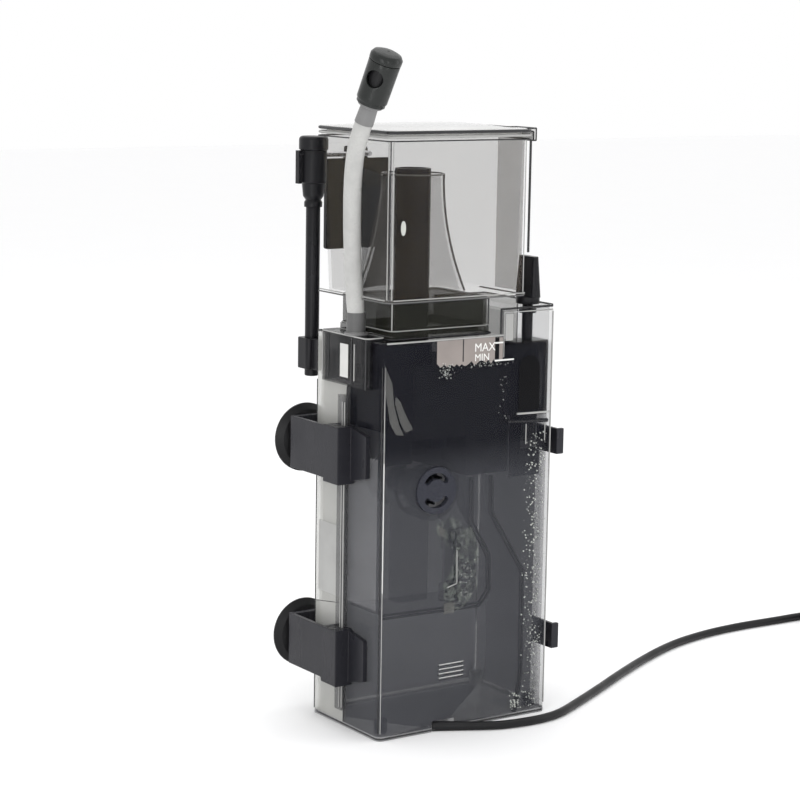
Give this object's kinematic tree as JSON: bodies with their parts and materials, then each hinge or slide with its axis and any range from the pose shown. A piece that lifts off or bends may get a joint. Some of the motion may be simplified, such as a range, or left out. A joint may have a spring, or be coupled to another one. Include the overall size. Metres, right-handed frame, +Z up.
{
  "type": "hang-on tank filter with collection cup",
  "caption": "Slim clear tank filter that hangs outside an aquarium, with a pump, a foam riser and collection cup, an air hose with silencer, sliding suction-cup brackets and a mains lead.",
  "frame": {"origin": "centre of the base's underside, on the surface it stands on", "axes": "+Z up, -Y is the front face with the pump cover, +X is to the viewer's right, where the valve tower is"},
  "size_m": [0.5344, 0.1387, 0.4325],
  "materials": {
    "smoked_clear": "clear smoked polystyrene, glossy",
    "pale_clear": "pale translucent polystyrene, glossy",
    "cup_clear": "clear acrylic, glossy",
    "cup_white": "translucent lid, glossy",
    "dark_clear": "dark moulded plastic",
    "black_plastic": "black moulded plastic, satin",
    "rail_plastic": "grey plastic strip",
    "valve_clear": "dark clear plastic",
    "grey_plastic": "grey plastic",
    "silicone": "milky silicone",
    "black_rubber": "soft black rubber",
    "cord_jacket": "black flexible jacket",
    "pin_brass": "plated pins",
    "steel": "stainless steel",
    "magnet": "coated magnet",
    "impeller_plastic": "white plastic",
    "bush_rubber": "rubber bush",
    "sponge": "open-cell filter sponge",
    "foam": "fine foam"
  },
  "bodies": {
    "casing": {"front_casing": "smoked_clear", "rear_casing": "pale_clear", "base_plate": "black_plastic", "base_screws": "steel", "top_cover": "dark_clear", "socket_ring": "dark_clear", "riser_core": "dark_clear", "riser_elbow": "black_plastic", "pump_housing": "black_plastic", "pump_shaft": "steel", "shaft_bush": "bush_rubber", "duct_wall_inner": "smoked_clear", "duct_wall_outer": "smoked_clear", "pump_cradle": "dark_clear", "venturi_pipe": "smoked_clear", "filter_sponge": "sponge", "inlet_chamber": "dark_clear", "port_block": "black_plastic", "air_ferrule": "grey_plastic", "air_tube": "silicone", "silencer_stub": "black_plastic", "silencer_body": "black_plastic", "silencer_foam": "foam", "valve_housing": "valve_clear", "valve_spout": "valve_clear", "rail_left": "rail_plastic", "rail_right": "rail_plastic", "hanger_guide": "black_plastic", "cable_gland": "cord_jacket", "power_cord": "cord_jacket", "cord_coil": "cord_jacket", "plug_body": "cord_jacket", "plug_pins": "pin_brass"},
    "cup": {"cup_body": "cup_clear", "riser_neck": "cup_clear", "cup_collar": "cup_clear", "cup_gasket": "black_rubber"},
    "lid": {"lid": "cup_white"},
    "valve": {"valve_barrel": "black_plastic", "valve_stem": "black_plastic", "valve_knob": "black_plastic"},
    "impeller": {"impeller": "impeller_plastic", "rotor_magnet": "magnet"},
    "volute_cover": {"volute_cover": "black_plastic"},
    "silencer_cap": {"silencer_cap": "black_plastic"},
    "hanger": {"hanger_rod": "black_plastic", "hanger_head": "black_plastic", "hanger_bar": "steel", "hanger_clip": "black_plastic", "hanger_plate": "black_plastic"},
    "hanger_cap": {"hanger_cap": "black_plastic"},
    "bracket_upper_left": {"bracket_upper_left": "black_plastic", "suction_cup_upper_left": "black_rubber"},
    "bracket_upper_right": {"bracket_upper_right": "black_plastic", "suction_cup_upper_right": "black_rubber"},
    "bracket_lower_left": {"bracket_lower_left": "black_plastic", "suction_cup_lower_left": "black_rubber"},
    "bracket_lower_right": {"bracket_lower_right": "black_plastic", "suction_cup_lower_right": "black_rubber"}
  },
  "joints": [
    {"name": "cup_lift", "type": "slide", "parent": "casing", "child": "cup", "axis": [0, 0, 1], "range_m": [0, 0.08]},
    {"name": "lid_lift", "type": "slide", "parent": "cup", "child": "lid", "axis": [0, 0, 1], "range_m": [0, 0.06]},
    {"name": "valve_turn", "type": "hinge", "parent": "casing", "child": "valve", "pos_m": [0.0517, -0.0277, 0], "axis": [0, 0, 1], "range_deg": [0, 90]},
    {"name": "impeller_spin", "type": "hinge", "parent": "casing", "child": "impeller", "pos_m": [-0.025, 0, 0.1575], "axis": [0, 1, 0], "continuous": true},
    {"name": "volute_cover_turn", "type": "hinge", "parent": "casing", "child": "volute_cover", "pos_m": [-0.025, 0, 0.1575], "axis": [0, 1, 0], "range_deg": [0, 35]},
    {"name": "silencer_cap_turn", "type": "hinge", "parent": "casing", "child": "silencer_cap", "pos_m": [-0.07808, -0.05339, 0.42393], "axis": [0.1006, -0.3947, 0.9133], "range_deg": [-90, 90]},
    {"name": "hanger_lift", "type": "slide", "parent": "casing", "child": "hanger", "axis": [0, 0, 1], "range_m": [0, 0.012]},
    {"name": "hanger_cap_turn", "type": "hinge", "parent": "hanger", "child": "hanger_cap", "pos_m": [-0.0612, 0.0525, 0.37], "axis": [0, 0, 1], "range_deg": [-180, 180]},
    {"name": "bracket_upper_left_slide", "type": "slide", "parent": "casing", "child": "bracket_upper_left", "axis": [0, 0, 1], "range_m": [-0.02, 0.012]},
    {"name": "bracket_upper_right_slide", "type": "slide", "parent": "casing", "child": "bracket_upper_right", "axis": [0, 0, 1], "range_m": [-0.02, 0.012]},
    {"name": "bracket_lower_left_slide", "type": "slide", "parent": "casing", "child": "bracket_lower_left", "axis": [0, 0, 1], "range_m": [-0.015, 0.03]},
    {"name": "bracket_lower_right_slide", "type": "slide", "parent": "casing", "child": "bracket_lower_right", "axis": [0, 0, 1], "range_m": [-0.015, 0.03]}
  ]
}
